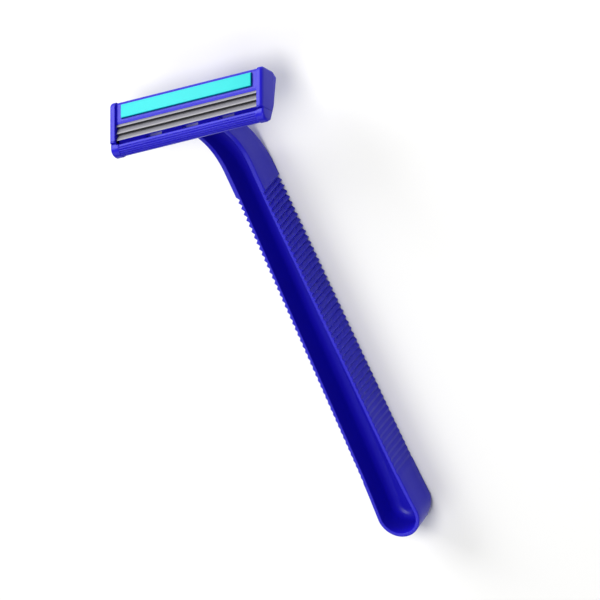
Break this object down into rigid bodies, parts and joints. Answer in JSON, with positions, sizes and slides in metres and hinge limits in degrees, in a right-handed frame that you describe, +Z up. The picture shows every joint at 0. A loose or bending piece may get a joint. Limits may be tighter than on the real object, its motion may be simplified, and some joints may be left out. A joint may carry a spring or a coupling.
{
  "type": "cartridge razor",
  "caption": "Wet-shaving razor: a ribbed open-channel plastic handle with a curved neck and a fixed blade head with guard, ground blades, cap and turquoise lubricating strip.",
  "frame": {"origin": "middle of the footprint, on the handle's spine, with the razor lying on its back", "axes": "X along the blades; +Y from the tail of the handle to the head; +Z up, the side that the handle's channel and the blades face"},
  "size_m": [0.0418, 0.1214, 0.0223],
  "materials": {
    "blue_plastic": "moulded, satin gloss, violet blue",
    "blade_steel": "rolled strip with a ground and honed edge",
    "spacer_plastic": "matt moulded black polystyrene",
    "lubricating_polymer": "extruded water-soluble strip, satin"
  },
  "bodies": {
    "root": {"handle": "blue_plastic", "blade_unit_base": "blue_plastic", "lower_blade": "blade_steel", "lower_spacer": "spacer_plastic", "middle_blade": "blade_steel", "upper_spacer": "spacer_plastic", "upper_blade": "blade_steel", "cap_frame": "blue_plastic", "lubricating_strip": "lubricating_polymer"}
  },
  "joints": []
}
